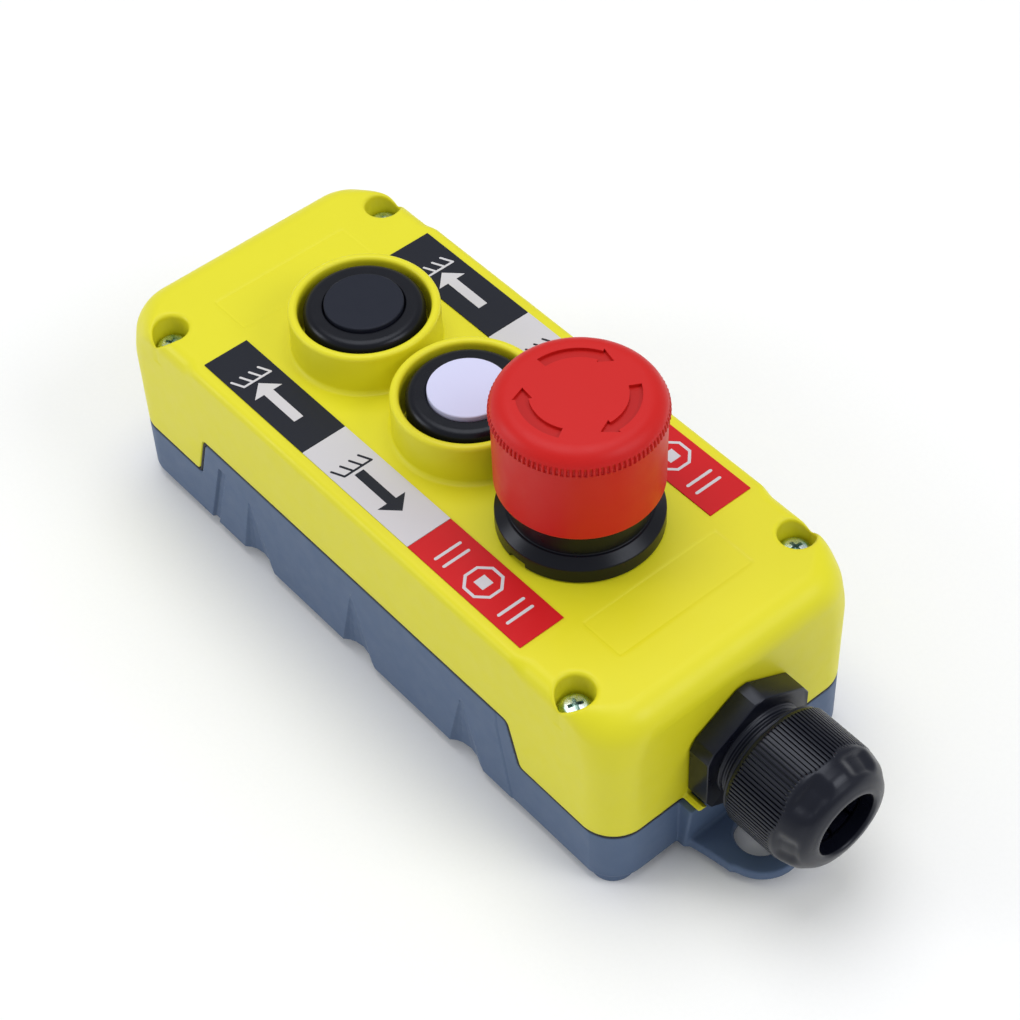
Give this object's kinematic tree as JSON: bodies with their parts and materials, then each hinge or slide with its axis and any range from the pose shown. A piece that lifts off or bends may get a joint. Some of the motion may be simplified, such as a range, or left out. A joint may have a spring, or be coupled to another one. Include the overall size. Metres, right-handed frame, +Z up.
{
  "type": "pendant control station",
  "caption": "Hand-held pendant control station with guarded push buttons, a mushroom emergency stop, a cable gland and a hanging lug.",
  "frame": {"origin": "centre of the bounding box at the plane that the four feet stand on", "axes": "+X along the housing towards the cable gland, +Z up through the buttons, +Y across the housing"},
  "size_m": [0.2194, 0.0776, 0.0985],
  "materials": {
    "cover_yellow": "satin moulded",
    "base_slate": "fine moulded grain",
    "black_plastic": "semi-gloss moulded",
    "cap_black": "satin moulded",
    "cap_white": "satin moulded",
    "red_plastic": "satin moulded",
    "legend_black": "printed film, satin",
    "legend_white": "printed film, satin",
    "legend_red": "printed film, satin",
    "black_rubber": "moulded",
    "zinc_screw": "zinc plated",
    "spring_steel": "drawn wire",
    "brass": "stamped",
    "nylon_natural": "moulded",
    "block_plastic": "moulded",
    "gland_nylon": "moulded nylon"
  },
  "bodies": {
    "housing": {"front_cover": "cover_yellow", "rear_base": "base_slate", "cover_gasket": "black_rubber", "cover_screw_1": "zinc_screw", "cover_screw_2": "zinc_screw", "cover_screw_3": "zinc_screw", "cover_screw_4": "zinc_screw", "legend_raise_near": "legend_black", "legend_raise_far": "legend_black", "legend_lower_near": "legend_white", "legend_lower_far": "legend_white", "legend_stop_near": "legend_red", "legend_stop_far": "legend_red", "raise_button_bezel": "black_plastic", "raise_button_gasket": "black_rubber", "raise_button_spring": "spring_steel", "raise_button_lock_nut": "black_plastic", "raise_button_contact_block": "block_plastic", "raise_button_fixed_contact_near": "brass", "raise_button_terminal_screw_near": "zinc_screw", "raise_button_fixed_contact_far": "brass", "raise_button_terminal_screw_far": "zinc_screw", "lower_button_bezel": "black_plastic", "lower_button_gasket": "black_rubber", "lower_button_spring": "spring_steel", "lower_button_lock_nut": "black_plastic", "lower_button_contact_block": "block_plastic", "lower_button_fixed_contact_near": "brass", "lower_button_terminal_screw_near": "zinc_screw", "lower_button_fixed_contact_far": "brass", "lower_button_terminal_screw_far": "zinc_screw", "stop_button_flange": "black_plastic", "stop_button_gasket": "black_rubber", "stop_button_spring": "spring_steel", "stop_button_lock_nut": "black_plastic", "stop_button_contact_block": "block_plastic", "stop_button_fixed_contact_near": "brass", "stop_button_terminal_screw_near": "zinc_screw", "stop_button_fixed_contact_far": "brass", "stop_button_terminal_screw_far": "zinc_screw", "gland_body": "gland_nylon", "gland_washer": "black_rubber", "gland_lock_nut": "gland_nylon"},
    "raise_button": {"raise_button_cap": "cap_black", "raise_button_contact_carrier": "nylon_natural", "raise_button_contact_bridge": "brass"},
    "lower_button": {"lower_button_cap": "cap_white", "lower_button_contact_carrier": "nylon_natural", "lower_button_contact_bridge": "brass"},
    "stop_head": {"stop_button_head": "red_plastic"},
    "stop_plunger": {"stop_button_plunger": "nylon_natural", "stop_button_contact_carrier": "nylon_natural", "stop_button_contact_bridge": "brass"},
    "gland_clamp": {"gland_seal": "black_rubber", "gland_clamp_ring": "gland_nylon"},
    "gland_nut": {"gland_dome_nut": "gland_nylon"}
  },
  "joints": [
    {"name": "raise_button_press", "type": "slide", "parent": "housing", "child": "raise_button", "axis": [0, 0, -1], "range_m": [0, 0.0043], "stiffness_N_per_m": 900, "springref_m": -0.003, "deforming": ["raise_button_spring"]},
    {"name": "lower_button_press", "type": "slide", "parent": "housing", "child": "lower_button", "axis": [0, 0, -1], "range_m": [0, 0.0043], "stiffness_N_per_m": 900, "springref_m": -0.003, "deforming": ["lower_button_spring"]},
    {"name": "stop_button_press", "type": "slide", "parent": "housing", "child": "stop_plunger", "axis": [0, 0, -1], "range_m": [0, 0.0043], "deforming": ["stop_button_spring"]},
    {"name": "stop_button_twist", "type": "hinge", "parent": "stop_plunger", "child": "stop_head", "pos_m": [0.02185, 0, 0.0925], "axis": [0, 0, -1], "range_deg": [0, 45], "stiffness_Nm_per_rad": 0.05},
    {"name": "gland_clamp_slide", "type": "slide", "parent": "housing", "child": "gland_clamp", "axis": [-1, 0, 0], "range_m": [-0.0031, 0.0024]},
    {"name": "gland_nut_turn", "type": "hinge", "parent": "gland_clamp", "child": "gland_nut", "pos_m": [0.096, 0, 0.0295], "axis": [-1, 0, 0], "range_deg": [-720, 540]}
  ],
  "couplings": [
    {"joint": "gland_clamp_slide", "follows": "gland_nut_turn", "m_per_rad": 0.00023873}
  ]
}
